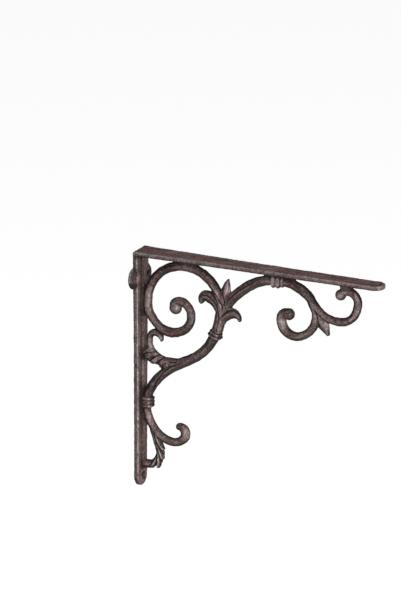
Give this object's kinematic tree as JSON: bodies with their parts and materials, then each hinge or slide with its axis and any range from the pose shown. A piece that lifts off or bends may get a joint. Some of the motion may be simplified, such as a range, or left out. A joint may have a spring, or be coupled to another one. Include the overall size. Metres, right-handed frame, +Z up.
{
  "type": "shelf bracket",
  "caption": "Ornate cast iron shelf bracket with scrolls, leaves and beaded collars between a wall plate with screw ears and a flat arm with a rounded, drilled tip.",
  "frame": {"origin": "on the flat back of the wall plate, midway between the two screw ears, 25.4 mm below the shelf face", "axes": "+X out from the wall along the arm, +Y across the bracket, +Z up"},
  "size_m": [0.25, 0.042, 0.223],
  "materials": {
    "cast_iron": "dark red-brown antique finish over a rough cast surface, worn to grey on the edges"
  },
  "bodies": {
    "root": {"cast_bracket": "cast_iron"}
  },
  "joints": []
}
